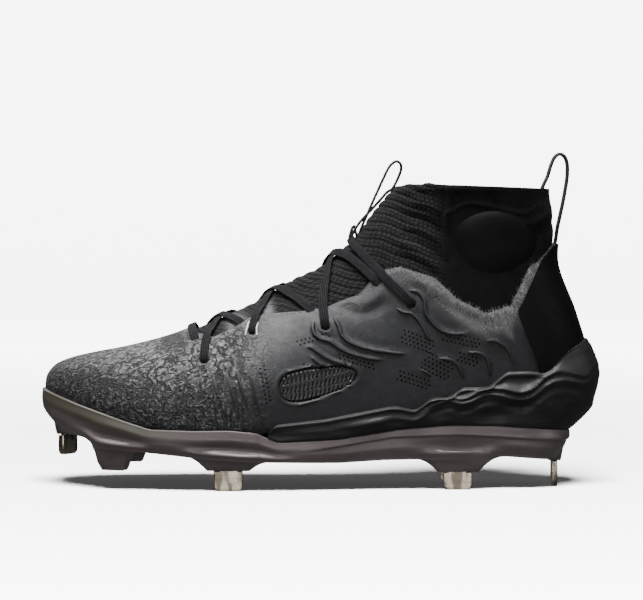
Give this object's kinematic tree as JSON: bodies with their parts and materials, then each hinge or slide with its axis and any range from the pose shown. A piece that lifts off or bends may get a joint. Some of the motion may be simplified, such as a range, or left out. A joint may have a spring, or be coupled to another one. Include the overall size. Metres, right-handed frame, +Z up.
{
  "type": "baseball cleat",
  "caption": "Mid-cut left baseball shoe: moulded skin upper over a knit ankle collar, wavy foam midsole and a plastic plate with metal blades.",
  "frame": {"origin": "middle of the bounding box, on the floor that the blades stand on", "axes": "+X along the shoe to the toe, +Y to the wearer's outer side, +Z up"},
  "size_m": [0.2995, 0.1026, 0.1814],
  "materials": {
    "moulded_skin": "matt moulded synthetic skin, fine embossed grain",
    "knit": "ribbed black knit",
    "padding": "smooth padded knit",
    "heel_film": "matt black film",
    "foam": "satin black foam",
    "plate_plastic": "semi-gloss smoke-coloured plastic",
    "insole_foam": "matt black foam with a textile top",
    "lace_weave": "flat ribbed weave",
    "webbing": "black webbing",
    "blade_metal": "champagne-coloured metal, satin"
  },
  "bodies": {
    "root": {"upper": "moulded_skin", "collar": "knit", "ankle_pad_lateral": "padding", "ankle_pad_medial": "padding", "heel_panel": "heel_film", "midsole": "foam", "outsole": "plate_plastic", "insole": "insole_foam", "lace_bar_front": "lace_weave", "lace_cross_low": "lace_weave", "lace_cross_mid": "lace_weave", "lace_cross_high": "lace_weave", "lace_bar_top": "lace_weave", "pull_loop_front": "webbing", "pull_loop_rear": "webbing", "blade_toe": "blade_metal", "blade_ball_lateral": "blade_metal", "blade_ball_medial": "blade_metal", "blade_heel_lateral": "blade_metal", "blade_heel_medial": "blade_metal", "blade_heel_rear": "blade_metal"}
  },
  "joints": []
}
